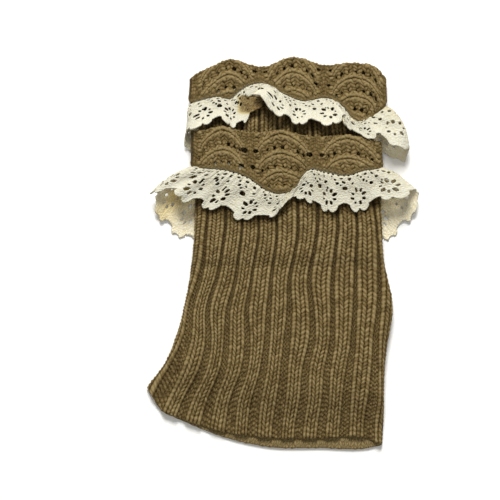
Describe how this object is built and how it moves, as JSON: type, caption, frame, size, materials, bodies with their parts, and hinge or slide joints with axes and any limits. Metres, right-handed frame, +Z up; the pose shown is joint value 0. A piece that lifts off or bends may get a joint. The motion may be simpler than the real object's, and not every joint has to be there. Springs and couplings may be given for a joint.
{
  "type": "pair of leg warmers",
  "caption": "Pair of ribbed knit leg warmers with fan-knit cuffs and gathered lace ruffles, one drawn part way over the other and laid flat.",
  "frame": {"origin": "bottom centre of the box round the flat pair, on the surface it lies on", "axes": "+X to the right across the leg, +Y up the leg towards the cuffs, +Z up from the surface"},
  "size_m": [0.1868, 0.2662, 0.0241],
  "materials": {
    "rib_knit": "matte tan acrylic yarn in two-by-two rib",
    "fan_knit": "matte tan acrylic yarn in openwork fan stitch",
    "cotton_lace": "matte cream cotton lace with daisy eyelets and a picot hem"
  },
  "bodies": {
    "root": {"outer_rib_tube": "rib_knit", "inner_rib_tube": "rib_knit", "outer_fan_cuff": "fan_knit", "inner_fan_cuff": "fan_knit", "outer_lace_ruffle": "cotton_lace", "inner_lace_ruffle": "cotton_lace"}
  },
  "joints": []
}
